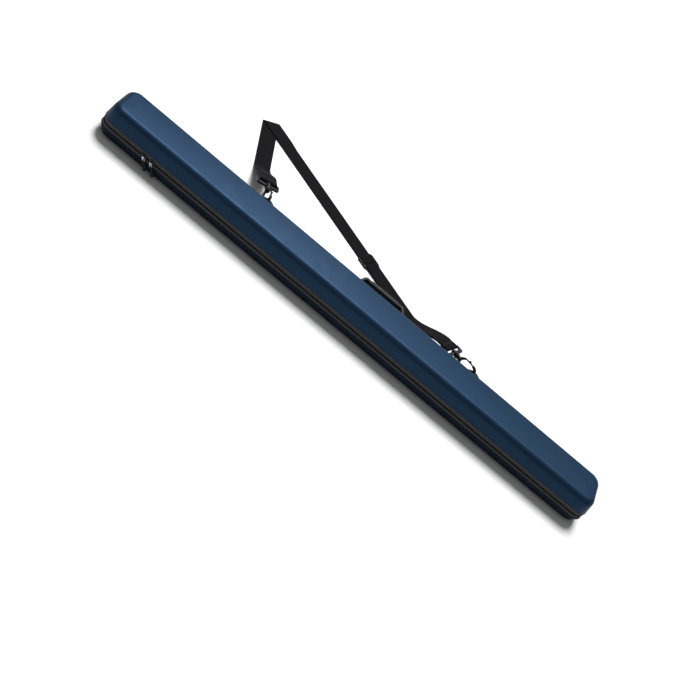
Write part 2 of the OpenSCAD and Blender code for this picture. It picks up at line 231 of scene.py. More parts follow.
RIVET = metal("black_rivet", (0.035, 0.035, 0.04), 0.4, 0.7)
FLOCK = flock()


# ---- Mesh tools ----

def mesh_piece(name, points, faces, material, sharp=40, place=Matrix(), laid=None):
    """A mesh in millimetres, placed, scaled to metres, and shaded smooth except at sharp edges."""
    data = bpy.data.meshes.new(name)
    data.from_pydata([MM * (place @ Vector(p)) for p in points], [], faces)
    if laid:
        attribute = data.attributes.new("lay", "FLOAT_VECTOR", "POINT")
        for item, value in zip(attribute.data, laid):
            item.vector = value
    made = bmesh.new()
    made.from_mesh(data)
    if not laid:
        bmesh.ops.remove_doubles(made, verts=made.verts, dist=1e-6)
        bmesh.ops.dissolve_degenerate(made, edges=made.edges, dist=1e-7)
    bmesh.ops.recalc_face_normals(made, faces=made.faces)
    for face in made.faces:
        face.smooth = True
    for edge in made.edges:
        edge.smooth = not (len(edge.link_faces) == 2 and edge.calc_face_angle(0) > radians(sharp))
    made.to_mesh(data)
    made.free()
    data.materials.append(material)
    piece = bpy.data.objects.new(name, data)
    bpy.context.scene.collection.objects.link(piece)
    return piece


def join(name, pieces):
    """One piece made of several, which keep their own materials."""
    with bpy.context.temp_override(active_object=pieces[0], selected_editable_objects=pieces):
        bpy.ops.object.join()
    pieces[0].name = name
    return pieces[0]


def round_edges(piece, width, segments=3, angle=35):
    bevel = piece.modifiers.new("edges", "BEVEL")
    bevel.width = width * MM
    bevel.segments = segments
    bevel.limit_method = "ANGLE"
    bevel.angle_limit = radians(angle)
    return piece


def stand_for(piece, body, slot, *nodes):
    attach(piece, body)
    if nodes:
        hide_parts(*nodes)
    return piece


def rings_to_mesh(rings, closed_rings=True, caps=False, closed_path=False):
    """Points and faces of a skin over a row of equal rings of points."""
    count = len(rings[0])
    points = [p for ring in rings for p in ring]
    faces = []
    for i in range(len(rings) if closed_path else len(rings) - 1):
        a, b = i * count, (i + 1) % len(rings) * count
        for j in range(count if closed_rings else count - 1):
            k = (j + 1) % count
            faces.append((a + j, a + k, b + k, b + j))
    if caps:
        faces.append(tuple(range(count)))
        faces.append(tuple(range(len(points) - 1, len(points) - 1 - count, -1)))
    return points, faces


def tube(name, path, radius, material, place=Matrix(), sides=14, flat=1.0, closed=False):
    """A round or flattened bar along a path in the XY plane; radius may vary along it."""
    rings = []
    for i, point in enumerate(path):
        before = path[i - 1] if i or closed else path[0]
        after = path[(i + 1) % len(path)] if i < len(path) - 1 or closed else path[-1]
        run = (Vector((*after, 0)) - Vector((*before, 0))).normalized()
        side = Vector((-run.y, run.x, 0))
        size = radius(i / (len(path) - 1)) if callable(radius) else radius
        rings.append([
            Vector((*point, 0)) + size * (cos(2 * pi * k / sides) * side
                                          + Vector((0, 0, flat * sin(2 * pi * k / sides))))
            for k in range(sides)
        ])
    return mesh_piece(name, *rings_to_mesh(rings, True, not closed, closed), material, 50, place)


def lathe(name, profile, material, place=Matrix(), sides=32):
    """Turns (radius, height) pairs about the local Z axis."""
    rings = [
        [(r * cos(2 * pi * k / sides), r * sin(2 * pi * k / sides), h) for k in range(sides)]
        for r, h in profile
    ]
    return mesh_piece(name, *rings_to_mesh(rings, True, True), material, 40, place)


def plate(name, outline, low, high, material, place=Matrix(), holes=()):
    """A flat plate of a given outline and holes, between two heights."""
    made = bmesh.new()
    edges = []
    for loop in (outline, *holes):
        corners = [made.verts.new((x, y, low)) for x, y in loop]
        edges += [made.edges.new((corners[i - 1], corners[i])) for i in range(len(corners))]
    filled = bmesh.ops.triangle_fill(made, use_beauty=True, use_dissolve=True, edges=edges)
    faces = [f for f in filled["geom"] if isinstance(f, bmesh.types.BMFace)]
    raised = bmesh.ops.extrude_face_region(made, geom=faces, use_keep_orig=True)
    for vert in raised["geom"]:
        if isinstance(vert, bmesh.types.BMVert):
            vert.co.z = high
    made.verts.index_update()
    points = [tuple(v.co) for v in made.verts]
    polygons = [[v.index for v in f.verts] for f in made.faces]
    made.free()
    return mesh_piece(name, points, polygons, material, 30, place)


def rounded_rectangle(half_x, half_y, radius, steps=6, centre=(0, 0)):
    points = []
    for quarter, (sx, sy) in enumerate(((1, 1), (-1, 1), (-1, -1), (1, -1))):
        for k in range(steps + 1):
            angle = (quarter + k / steps) * pi / 2
            points.append((centre[0] + sx * (half_x - radius) + radius * cos(angle),
                           centre[1] + sy * (half_y - radius) + radius * sin(angle)))
    return points


# ---- The rim line, measured clockwise from the spine's middle ----

STRAIGHT, END, ARC = HALF_LENGTH - CORNER, 2 * (HALF_WIDTH - CORNER), CORNER * pi / 2
AROUND = 4 * STRAIGHT + 2 * END + 4 * ARC


def on_rim(distance, out=0):
    """A point of the rim line at a distance along it, moved outwards."""
    d = distance % AROUND
    turned = d > AROUND / 2
    if turned:
        d = AROUND - d
    side = HALF_WIDTH - CORNER
    if d < STRAIGHT:
        point, normal = (d, HALF_WIDTH), (0, 1)
    elif d < STRAIGHT + ARC:
        angle = pi / 2 - (d - STRAIGHT) / CORNER
        normal = (cos(angle), sin(angle))
        point = (STRAIGHT + CORNER * normal[0], side + CORNER * normal[1])
    elif d < STRAIGHT + ARC + END:
        point, normal = (HALF_LENGTH, side - (d - STRAIGHT - ARC)), (1, 0)
    elif d < STRAIGHT + 2 * ARC + END:
        angle = -(d - STRAIGHT - ARC - END) / CORNER
        normal = (cos(angle), sin(angle))
        point = (STRAIGHT + CORNER * normal[0], -side + CORNER * normal[1])
    else:
        point, normal = (STRAIGHT - (d - STRAIGHT - 2 * ARC - END), -HALF_WIDTH), (0, -1)
    flip = -1 if turned else 1
    return flip * (point[0] + out * normal[0]), point[1] + out * normal[1]


def rim_distance(y):
    """How far round the rim the line comes down to y on the corner by the spine."""
    return STRAIGHT + CORNER * (pi / 2 - asin((y - HALF_WIDTH + CORNER) / CORNER))


def rim_stations(start, end, step):
    """Distances from start to end: close together at the corners, far apart on straights."""
    stations, d = [], start
    while d < end:
        stations.append(d)
        half = d % AROUND
        half = min(half, AROUND - half)
        curved = STRAIGHT - 1 < half < STRAIGHT + 2 * ARC + END + 1
        d += min(step, 2) if curved else step
    stations.append(end)
    return stations


def rim_sweep(name, sections, stations, material, closed=False, sharp=50):
    """Sweeps a closed section of (out, z) points round the rim; sections(i) gives the section."""
    rings = [
        [(*on_rim(d, out), z) for out, z in sections(i)] for i, d in enumerate(stations)
    ]
    return mesh_piece(name, *rings_to_mesh(rings, True, not closed, closed), material, sharp)


# ---- Shells ----

def shell_ring(inset, z, corner_steps=12, straight_steps=60):
    """One ring of a shell: its outline at this inset, with points along the long sides."""
    half_x, half_y = HALF_LENGTH - inset, HALF_WIDTH - inset
    radius = max(CORNER - max(inset - DRAFT, 0), 0.4)
    radius = min(radius, max(half_y, 0.01))
    corners = rounded_rectangle(half_x, half_y, radius, corner_steps)
    in_quarter = corner_steps + 1
    points = []
    for quarter in range(4):
        points += corners[quarter * in_quarter:(quarter + 1) * in_quarter]
        if quarter in (0, 2):
            sign = 1 - quarter
            run = half_x - radius
            points += [(sign * run * (1 - 2 * k / straight_steps), sign * half_y)
                       for k in range(1, straight_steps)]
    return [(x, y, z) for x, y in points]


def shell(name, height, edge, rim, way, crown, material):
    """A dished moulded shell: inner skin, rolled rim, sloping wall, round edge, crowned face."""
    tilt = wall_tilt(height, edge)
    steps = 14
    arc = [tilt + (pi / 2 - tilt) * k / steps for k in range(steps + 1)]

    def skin_round(foot, radius, top):
        return [(foot + radius * (1 - cos(t)), top - radius * (1 - sin(t))) for t in arc]
    inner = skin_round(WALL + DRAFT, edge - WALL, height - WALL)
    outer = skin_round(DRAFT, edge, height)
    rolled_rim = [(WALL, 0.4), (WALL - 0.4, 0.05), (0.5, 0.05), (0.12, 0.2), (0, 0.6)]
    start, face_steps = DRAFT + edge, 8
    face = [(start + (HALF_WIDTH - start) * k / face_steps, height + crown * sin(pi / 2 * k / face_steps))
            for k in range(1, face_steps + 1)]
    profile = [(HALF_WIDTH, height - WALL)] + inner[::-1] + rolled_rim + outer + face
    rings = [shell_ring(inset, rim + way * z) for inset, z in profile]
    return mesh_piece(name, *rings_to_mesh(rings), material, 60)


front = shell("moulded_front", DEPTH - FRONT_RIM, FRONT_EDGE, FRONT_RIM, 1, 0.8, BLUE)
stand_for(front, "front_half", "shell_skin", "front_shell")
back = shell("moulded_back", BACK_RIM, BACK_EDGE, BACK_RIM, -1, 0, NAVY)
stand_for(back, "root", "shell_skin", "back_shell")


# ---- Piping, zip tapes, teeth, and the cloth spine ----

def oval(out, z, half_out, half_z, sides=12):
    return [(out + half_out * cos(2 * pi * k / sides), z + half_z * sin(2 * pi * k / sides))
            for k in range(sides)]


def piping(name, low, material, body, node):
    section = oval(-1.1, low + PIPING / 2, 1.8, PIPING / 2)
    stations = rim_stations(0, AROUND, 12)[:-1]
    piece = rim_sweep(name, lambda i: section, stations, material, True)
    return stand_for(piece, body, "piping", node)


piping("back_welt", BACK_RIM, DARK_CORD, "root", "back_piping")
piping("front_welt", FRONT_RIM - PIPING, CORD, "front_half", "front_piping")

ZIP = (rim_distance(ZIP_END), AROUND - rim_distance(ZIP_END))
LOW_BAND, HIGH_BAND = BACK_RIM + PIPING, FRONT_RIM - PIPING
CLOTH_STEP = 10


def cloth_section(low, high, rows, bulge):
    """A band of cloth seen end on: its face stands out by bulge(k), and its back follows it."""
    face = [(bulge(k) - INSET, low + (high - low) * k / rows) for k in range(rows + 1)]
    return face + [(out - TAPE, z) for out, z in reversed(face)]


def tape(name, low, high, body, node):
    """A woven tape with a soft outward bow and a sewn dent near each edge."""
    rows, bow, dent, dented = 10, 0.35, 0.12, (2, 8)
    section = cloth_section(low, high, rows, lambda k: bow * sin(pi * k / rows) - dent * (k in dented))
    piece = rim_sweep(name, lambda i: section, rim_stations(*ZIP, CLOTH_STEP), CLOTH_TAPE, sharp=60)
    return stand_for(piece, body, "zip_tape", node)


tape("lower_tape", LOW_BAND, PARTING - ROW_GAP / 2 - COIL_HEIGHT, "root", "lower_zip_tape")
tape("upper_tape", PARTING + ROW_GAP / 2 + COIL_HEIGHT, HIGH_BAND, "front_half", "upper_zip_tape")


def teeth(name, middle, way, phase, body, node):
    """A row of moulded teeth: a strip whose section swells once for each tooth."""
    pitch, reach = 1.8, 0.3
    count = ceil((ZIP[1] - ZIP[0]) / pitch * 2)
    stations = [ZIP[0] + (ZIP[1] - ZIP[0]) * k / count for k in range(count + 1)]
    out = COIL_PROUD - INSET - 1.6
    tooth = oval(out, middle - way * reach, 1.55, COIL_HEIGHT / 2 + 0.12, 8)
    gap = oval(out, middle, 1.15, COIL_HEIGHT / 2 - 0.15, 8)
    piece = rim_sweep(name, lambda i: tooth if (i + phase) % 2 else gap, stations, TEETH, sharp=80)
    return stand_for(piece, body, "zip_coil", node)


teeth("lower_teeth", PARTING - (ROW_GAP + COIL_HEIGHT) / 2, -1, 0, "root", "lower_zip_coil")
teeth("upper_teeth", PARTING + (ROW_GAP + COIL_HEIGHT) / 2, 1, 1, "front_half", "upper_zip_coil")


def spine_cloth():
    """The cloth that hinges the two halves, with a shallow crease at the parting line."""
    rows, bow, crease, bend = 16, 0.5, 0.7, 3

    def bulge(k):
        return bow * sin(pi * k / rows) - crease * (1 - min(abs(k - rows / 2) / 2, 1))
    section = cloth_section(LOW_BAND, HIGH_BAND, rows, bulge)
    reach = rim_distance(ZIP_END + ROW_GAP)
    stations = rim_stations(-reach, reach, CLOTH_STEP)
    piece = rim_sweep("spine_hinge_cloth", lambda i: section, stations, SPINE, sharp=60)
    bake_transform(piece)
    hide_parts("spine_fabric")


spine_cloth()


# ---- Foam trays ----

CHANNELS = ((-19, 17), (20, 13))
TRAY_EDGE, CHANNEL_START, CHANNEL_EASE = 2.5, 27, 14


def tray_stations(half_x):
    """Places along a tray: close together at its ends, 100 mm apart between them."""
    ends = [0, 1, 3, 6, 10, 15, 21, 26, 28, 30, 33, 38, 46]
    between = [-500 + 100 * k for k in range(11)]
    return [e - half_x for e in ends] + between + [half_x - e for e in reversed(ends)]


def channel_depth(y, scoop):
    """How deep a tray is scooped at y, by the channel that lies there."""
    for centre, radius in CHANNELS:
        gap = radius ** 2 - (y - centre) ** 2
        if gap > 0:
            return scoop * (sqrt(gap) - 0.5)
    return 0


def foam(name, inset, base, face, way, body, node, columns=80):
    """A foam tray with two scooped channels, soft lips and rounded ends."""
    half_x, half_y, radius = HALF_LENGTH - inset, HALF_WIDTH - inset, CORNER - WALL
    rings = []
    for x in tray_stations(half_x):
        from_end = half_x - abs(x)
        into_corner = max(radius - from_end, 0)
        width = half_y - radius + sqrt(max(radius ** 2 - into_corner ** 2, 0.5))
        share = min(max((from_end - CHANNEL_START) / CHANNEL_EASE, 0), 1)
        scoop = sqrt(1 - (1 - share) ** 2)
        top = []
        for k in range(columns + 1):
            y = width * (2 * k / columns - 1)
            edge = max(TRAY_EDGE - (width - abs(y)), 0)
            lip = TRAY_EDGE - sqrt(max(TRAY_EDGE ** 2 - edge ** 2, 0))
            top.append((x, y, face - way * (channel_depth(y, scoop) + lip)))
        rings.append(top + [(x, width, base), (x, -width, base)])
    piece = mesh_piece(name, *rings_to_mesh(rings, True, True), FLOCK, 50)
    return stand_for(piece, body, "foam", node)


foam("back_tray", BACK_EDGE, WALL + 1, PARTING - ROW_GAP / 2, 1, "root", "back_foam")
foam("front_tray", WALL + DRAFT + 2, DEPTH - WALL - 5, PARTING + ROW_GAP / 2, -1, "front_half", "front_foam")


# ---- Fittings on the spine wall ----

OUTWARDS = Matrix.Rotation(-pi / 2, 4, "X")


def on_spine_wall(x):
    """Local X along the case, Y out of the wall, Z up it."""
    return Matrix.Translation((x, FITTING_Y, FITTING_Z)) @ Matrix.Rotation(TILT, 4, "X")


def foot(name, half_x, half_z, radius, thick, edge, place, middle=0):
    """A flat foot on the wall, with round corners and edges."""
    outline = [(x, -z) for x, z in rounded_rectangle(half_x, half_z, radius, centre=(middle, 0))]
    return round_edges(plate(name, outline, 0.05, thick, FRAME_PLASTIC, place @ OUTWARDS), edge)


def rivet(x, height, place):
    """A turned rivet whose domed, dimpled head stands on a foot of this height."""
    profile = [(2, 0), (2, height), (3.3, height), (3.5, height + 0.3), (3.2, height + 0.8),
               (2.2, height + 1.15), (1.3, height + 1.2), (1.0, height + 0.85), (0.3, height + 0.8)]
    return lathe("rivet", profile, RIVET, place @ Matrix.Translation((x, 0, 0)) @ OUTWARDS)


HANDLE_X, HANDLE_REACH, HANDLE_HALF, HANDLE_WIDTH = 26, 26, 72, 20
GRIP_THICK, GRIP_HALF = 9, 36
BOW_HALF = HANDLE_HALF - 14
FOOT_HALF, FOOT_THICK, RIVET_FROM_END = 10, 4, 7


def ease(t):
    """Rises smoothly from 0 to 1 as t does, and stays there."""
    t = min(max(t, 0), 1)
    return t * t * (3 - 2 * t)


def handle_rise(t):
    """Height of the handle's middle line at t from -1 to 1, with slightly raised shoulders."""
    leg, shoulder_at, shoulder_half, shoulder = 0.24, 0.74, 0.12, 1.1
    raised = shoulder * max(0, 1 - abs(abs(t) - shoulder_at) / shoulder_half)
    return 2 + (HANDLE_REACH - GRIP_THICK / 2 - 3.2) * ease((1 - abs(t)) / leg) + raised


def superoval(half_y, half_z, sides=24):
    """An oval squared off towards a rectangle."""
    def squared(value):
        return abs(value) ** 0.55 * (1 if value >= 0 else -1)
    angles = [2 * pi * k / sides for k in range(sides)]
    return [(half_y * squared(cos(a)), half_z * squared(sin(a))) for a in angles]


def handle_bow(place):
    """The handle's bow, thinner where its legs meet the feet."""
    steps, thinner, full_rise, nudge = 48, 1.6, 20, 0.01
    rings = []
    for k in range(steps + 1):
        t = -1 + 2 * k / steps
        rise = handle_rise(t)
        slope = atan2(handle_rise(t + nudge) - handle_rise(t - nudge), 2 * nudge * BOW_HALF)
        half_thick = GRIP_THICK / 2 - thinner * (1 - min(rise / full_rise, 1))
        rings.append([
            (t * BOW_HALF - y * sin(slope), max(rise + y * cos(slope), 0.06), z)
            for y, z in superoval(half_thick, HANDLE_WIDTH / 2)
        ])
    bow = mesh_piece("handle_bow", *rings_to_mesh(rings, True, True), FRAME_PLASTIC, 60, place)
    stand_for(bow, "front_half", "handle_plastic", "handle_frame")


def handle_sleeve(place):
    """The softer grip on the bow, ribbed and rounded at its ends."""
    steps, swell, rib_height, sunk = 72, 1.3, 0.45, 0.3
    rings = []
    for k in range(steps + 1):
        x = -GRIP_HALF + 2 * GRIP_HALF * k / steps
        rib = rib_height if k % 4 in (1, 2) and 3 < k < steps - 3 else 0
        grown = swell * sqrt(max(1 - (x / (GRIP_HALF + 0.5)) ** 8, 0)) + rib - sunk
        rise = handle_rise(x / BOW_HALF)
        rings.append([(x, rise + y, z) for y, z in
                      superoval(GRIP_THICK / 2 + grown, HANDLE_WIDTH / 2 + grown)])
    sleeve = mesh_piece("ribbed_grip", *rings_to_mesh(rings, True, True), GRIP, 70, place)
    stand_for(sleeve, "front_half", "grip_rubber", "handle_sleeve")


def handle():
    place = on_spine_wall(HANDLE_X)
    handle_bow(place)
    for side, sign in SIDES:
        pad = foot(side + "_handle_foot", FOOT_HALF, HANDLE_WIDTH / 2, 5, FOOT_THICK, 1.1, place,
                   sign * (HANDLE_HALF - FOOT_HALF))
        stand_for(pad, "front_half", "handle_plastic", "handle_frame")
    handle_sleeve(place)
    heads = [rivet(sign * (HANDLE_HALF - RIVET_FROM_END), FOOT_THICK, place) for _, sign in SIDES]
    stand_for(join("handle_rivet_heads", heads), "front_half", "rivet_metal", "handle_rivets")


handle()


def strap_loop(side, sign):
    """A moulded foot with a half-round bar for the snap hook; returns its two rivets."""
    place = on_spine_wall(sign * 265)
    name, node = side + "_strap_eye", side + "_strap_loop"
    radius, thick, steps = 18, 3, 28
    pad = foot(name, 29, 8, 5, thick, 0.9, place)
    stand_for(pad, "front_half", "handle_plastic", node)
    arc = [(radius * cos(pi * k / steps), 2 + radius * sin(pi * k / steps)) for k in range(steps + 1)]
    path = [(radius, 0.6)] + arc + [(-radius, 0.6)]
    bar = tube(name + "_bar", path, lambda t: 2.5 + 1.2 * abs(2 * t - 1) ** 8, FRAME_PLASTIC, place)
    stand_for(bar, "front_half", "handle_plastic", node)
    return [rivet(x, thick, place) for x in (-25, 25)]


loop_heads = [head for side, sign in SIDES for head in strap_loop(side, sign)]
stand_for(join("loop_rivet_heads", loop_heads), "front_half", "rivet_metal", "loop_rivets")


# ---- Sliders and pulls ----

COIL_FACE = HALF_WIDTH - INSET + COIL_PROUD
SIDE_ON = Matrix(((0, 0, 1, 0), (1, 0, 0, 0), (0, 1, 0, 0), (0, 0, 0, 1)))


def slider(side, pivot):
    """A zip slider: two shaped plates, a web between them, and a bridge for the pull."""
    x, y, z = pivot
    upright = Matrix.Translation((x, 0, z)) @ Matrix.Rotation(pi / 2, 4, "X")
    outline = [(-5.5, -2.6), (-3.2, -4.5), (3.4, -4.5), (5.5, -3.4), (5.5, 3.4), (3.4, 4.5),
               (-3.2, 4.5), (-5.5, 2.6)]
    stem = rounded_rectangle(1.8, 0.22, 0.2)
    face = COIL_FACE + 0.5
    layers = (("_slider_face", outline, face, face + 1.3, 0.45),
              ("_slider_back", outline, face - 5.3, face - 4, 0.3),
              ("_slider_web", stem, face - 4.2, face + 0.2, 0.05))
    pieces = [round_edges(plate(side + name, shape, low, high, ENAMEL, upright), edge)
              for name, shape, low, high, edge in layers]
    leg = [(y + 4.4, 3.6), (y + 2.4, 4.1), (y + 0.6, 3.9), (y, 3)]
    path = [(out, -up) for out, up in leg] + [(y, 0)] + leg[::-1]
    turned = Matrix.Translation((x, 0, z)) @ SIDE_ON
    pieces.append(tube(side + "_slider_bridge", path, 0.85, ENAMEL, turned, 12))
    for piece in pieces:
        stand_for(piece, side + "_slider", "slider_metal", side + "_slider")


def tip(t, start, depth, least):
    """Narrows a tab from 1 at start to a rounded end at t = 1."""
    return sqrt(max(1 - depth * max(0, (t - start) / (1 - start)) ** 2, least))


def pull(side, pivot):
    """A bent wire bail with its knuckle, and a ribbed tab that widens towards its tip."""
    body, node = side + "_pull", side + "_pull_link"
    turn = Matrix.Rotation(radians(52), 4, "Y") @ Matrix.Rotation(pi / 2, 4, "X")
    hang = Matrix.Translation(pivot) @ turn
    leg = [(8.2, 1.7), (5.5, 1.9), (2, 1.9), (-0.6, 1.7), (-1.7, 0.8)]
    path = leg + [(x, -y) for x, y in reversed(leg)]
    stand_for(tube(side + "_bail", path, 0.62, BRIGHT, hang, 12), body, "link_metal", node)
    profile = [(1.25, -2), (1.9, -2), (2, -1.7), (2, 1.7), (1.9, 2), (1.25, 2)]
    knuckle = lathe(side + "_knuckle", profile, BRIGHT, Matrix.Translation(pivot), 24)
    stand_for(knuckle, body, "link_metal", node)
    steps, start, length = 40, 7, 21
    rings = []
    for k in range(steps + 1):
        t = k / steps
        neck = 0.35 * max(0, 1 - abs(t - 0.2) / 0.08)
        ridge = 0.16 if k % 4 in (1, 2) and 0.25 < t < 0.9 else 0
        width = (2.3 + 1.6 * t - neck) * tip(t, 0.9, 0.8, 0.05)
        thick = (1.0 + 0.15 * (t < 0.2) + ridge) * tip(t, 0.94, 0.7, 0.1)
        rings.append([(start + length * t, a, b) for a, b in superoval(width, thick, 20)])
    tab = mesh_piece(side + "_pull_grip", *rings_to_mesh(rings, True, True), TAB, 60, hang)
    stand_for(tab, body, "pull_rubber", side + "_pull_tab")


for side, _ in SIDES:
    swing_point = Vector(joints[side + "_pull_swing"]["pos_m"]) / MM
    slider(side, swing_point)
    pull(side, swing_point)


# ---- Snap hooks and rings ----

HOOK_ROLL = Matrix.Rotation(radians(112), 4, "X")
TURN_X = Matrix.Rotation(pi / 2, 4, "Y")


def loop_frame(side):
    """Local X along the hook from the loop's bar to the strap, from the swivel joint."""
    joint = joints[side + "_hook_swivel"]
    along = Vector(joint["axis"]).normalized()
    across = Vector((0, 0, 1)).cross(along).normalized()
    up = along.cross(across)
    matrix = Matrix((along, across, up)).transposed().to_4x4()
    return Matrix.Translation(Vector(joint["pos_m"]) / MM) @ matrix


def hook(side):
    """A snap hook: a bow round the eye, a neck, and a turned boss that the ring swivels on."""
    place = loop_frame(side) @ HOOK_ROLL
    eye = [(EYE_RADIUS * cos(pi * k / 20), EYE_RADIUS * sin(pi * k / 20)) for k in range(10, 31)]
    shank = [(8, -10.6), (16, -10.4), (21, -9.3), (25, -7), (28.5, -4), (31, -1.5)]
    bow = tube(side + "_hook_bow", [(1.6, EYE_RADIUS)] + eye + shank,
               lambda t: 2.9 + 0.7 * sin(pi * min(t * 1.1, 1)), HOOK, place, 16)
    neck = tube(side + "_hook_neck", [(22, 10.2), (24, 8.6), (27, 5.8), (30, 3)],
                lambda t: 2.3 + t, HOOK, place, 16)
    profile = [(2.0, 26), (4.2, 26.6), (5.4, 28.2), (5.1, 31), (4.6, 34), (5.0, 36.5), (6.3, 39),
               (6.5, 41), (6.2, 42), (3, 42), (3, 51.2), (4.3, 51.2), (4.5, 51.6), (4.3, 53.2),
               (3.4, 53.9), (1, 54)]
    boss = lathe(side + "_swivel_boss", profile, HOOK, place @ TURN_X, 40)
    for piece in (bow, neck, boss):
        stand_for(piece, side + "_hook", "hook_plastic", side + "_snap_hook")


def gate(side):
    """The thin sprung bar that closes the hook, with a stud for the thumb."""
    place = loop_frame(side) @ HOOK_ROLL
    bar_path = [(2.6, 10.7), (6, 10.9), (12, 10.9), (17, 10.7), (21.2, 10.5)]
    bar = tube(side + "_sprung_gate", bar_path,
               lambda t: 1.75 - 0.2 * sin(pi * t), HOOK, place, 14, 1.1)
    stud_path = [(8.2, 12.2), (9.6, 13.3), (11, 13.6), (12.4, 13.3), (13.8, 12.2)]
    stud = tube(side + "_gate_thumb", stud_path,
                lambda t: 0.8 + 0.5 * sin(pi * t), HOOK, place, 12, 1.4)
    for piece in (bar, stud):
        stand_for(piece, side + "_gate", "hook_plastic", side + "_hook_gate")


def ring(side):
    """A moulded ring: a round webbing bar, two side arms and a deep bored bar."""
    place = loop_frame(side) @ Matrix.Translation((RING_START, 0, 0))
    middle = RING_LENGTH / 2
    outer = rounded_rectangle(middle, RING_WIDTH / 2, 4.5, centre=(middle, 0))
    slot_half = (RING_LENGTH - RING_BAR - RING_WEB) / 2
    hole = rounded_rectangle(slot_half, WEBBING / 2 + 1.5, 1.5, 4, (RING_WEB + slot_half, 0))
    body = round_edges(plate(side + "_webbing_ring", outer, -2.5, 2.5, HOOK, place, [hole]), 1.2, 4)
    stand_for(body, side + "_ring", "hook_plastic", side + "_strap_ring")
    bore, sides = 3.4, 36
    profile = [(bore, 0), (5.6, 0), (6, 0.5), (6, RING_WEB - 0.6), (5.5, RING_WEB), (bore, RING_WEB)]
    rings = [[(r * cos(2 * pi * k / sides), r * sin(2 * pi * k / sides), h) for k in range(sides)]
             for r, h in profile]
    collar = mesh_piece(side + "_swivel_collar", *rings_to_mesh(rings, True, False, True), HOOK, 40,
                        place @ TURN_X)
    stand_for(collar, side + "_ring", "hook_plastic", side + "_strap_ring")


for side, _ in SIDES:
    hook(side)
    gate(side)
    ring(side)


# ---- The strap ----

FOLD = Vector((-369, 377))
BAR_X = RING_START + RING_LENGTH - RING_BAR / 2
WRAP = RING_BAR / 2 + WEB_THICK / 2 + 0.35
OFFSETS = [WEBBING / 2 * (k / 8 - 1) for k in range(17)]
FLOOR = 0.1 + WEB_THICK / 2
FOLD_GAP, FOLD_LIFT = 1.2, WEB_THICK + 0.15
LEAVE_RING, LIFT_OFF, HELD = 14, TOUCH_DOWN - 14, BAR_X + 12


class Leg:
    """The strap's leg from one loop to the fold: places by distance, side offset and height."""

    def __init__(self, side):
        joint = joints[side + "_hook_swivel"]
        self.start = Vector(joint["pos_m"]) / MM
        self.foot = self.start.xy
        self.along = (FOLD - self.foot).normalized()
        self.across = Vector((-self.along.y, self.along.x))
        self.length = (FOLD - self.foot).length
        self.pitch = -asin(Vector(joint["axis"]).z)

    def at(self, distance, offset, z):
        flat = self.foot + distance * self.along + offset * self.across
        return (flat.x, flat.y, z)

    def row(self, distance, z, offsets=OFFSETS):
        """A row of points across the webbing."""
        return [self.at(distance, offset, z) for offset in offsets]

    def by_ring(self, x, z):
        """Distance and height of a point of the ring's own upright plane."""
        return (x * cos(self.pitch) + z * sin(self.pitch),
                self.start.z - x * sin(self.pitch) + z * cos(self.pitch))

    def near_bar(self, places):
        """Distances and heights of places measured from the ring's bar."""
        return [self.by_ring(BAR_X + x, z) for x, z in places]

    def round_bar(self):
        """Distances and heights of the turn round the ring's bar, from below to above."""
        angles = [-pi / 2 - pi * k / 10 for k in range(11)]
        return self.near_bar([(WRAP * cos(a), WRAP * sin(a)) for a in angles])

    def descent(self, z, floor, steps):
        """From a height above the ring's plane, down in an easy curve to the floor."""
        start, top = self.by_ring(BAR_X + LEAVE_RING, z)
        run = TOUCH_DOWN - start
        rows = []
        for k in range(1, steps + 1):
            t = k / steps
            fallen = ease(t)
            drop = run * sin(self.pitch) * (t - 2 * t * t + t ** 3)
            rows.append((start + run * t, (1 - fallen) * top + fallen * floor - drop))
        return rows


left, right = Leg("left"), Leg("right")
_bisector = (left.along + right.along).normalized()
CREASE = Vector((-_bisector.y, _bisector.x))


def crease_distance(leg, offset):
    """How far along a leg its line at this offset meets the crease."""
    normal = Vector((-CREASE.y, CREASE.x))
    return leg.length - offset * leg.across.dot(normal) / leg.along.dot(normal)


def ribbon(name, rows, lengths):
    """Webbing over rows of points, one for each offset across, given its own thickness."""
    points, faces = rings_to_mesh(rows, False)
    laid = [(offset * MM, length * MM, 0) for length in lengths for offset in OFFSETS]
    piece = mesh_piece(name, points, faces, WEB, 180, laid=laid)
    thick = piece.modifiers.new("thickness", "SOLIDIFY")
    thick.thickness = WEB_THICK * MM
    thick.offset = 0
    return round_edges(piece, 0.5, 2, 60)


def run_lengths(rows):
    """The length laid out from the first row to each row, along the middle."""
    middle = len(OFFSETS) // 2
    total = [0]
    for a, b in zip(rows, rows[1:]):
        total.append(total[-1] + (Vector(a[middle]) - Vector(b[middle])).length)
    return total


def bend_webbing(piece, start, end):
    """Bakes the webbing's placement into its mesh; start (on the floor) and end (where its ring carries it)
    are not used.
    """
    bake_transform(piece)


def sewn_tail():
    """The webbing's sewn tail, its turn round the left ring's bar, and its way to the floor."""
    tail, ply = 46, 2.1
    down = left.descent(0, FLOOR, 30)
    places = []
    for k in range(8):
        distance = left.by_ring(BAR_X + tail - 3 * k, -2.2)[0]
        above = min(down, key=lambda place: abs(place[0] - distance))
        places.append((distance, above[1] - ply))
    places += left.near_bar([(14, -1.9), (9, -2.6), (4, -3.1)])
    places += left.round_bar()
    places += left.near_bar([(4, 3.0), (9, 1.6), (14, 0.2)])
    return [left.row(d, z) for d, z in places + down]


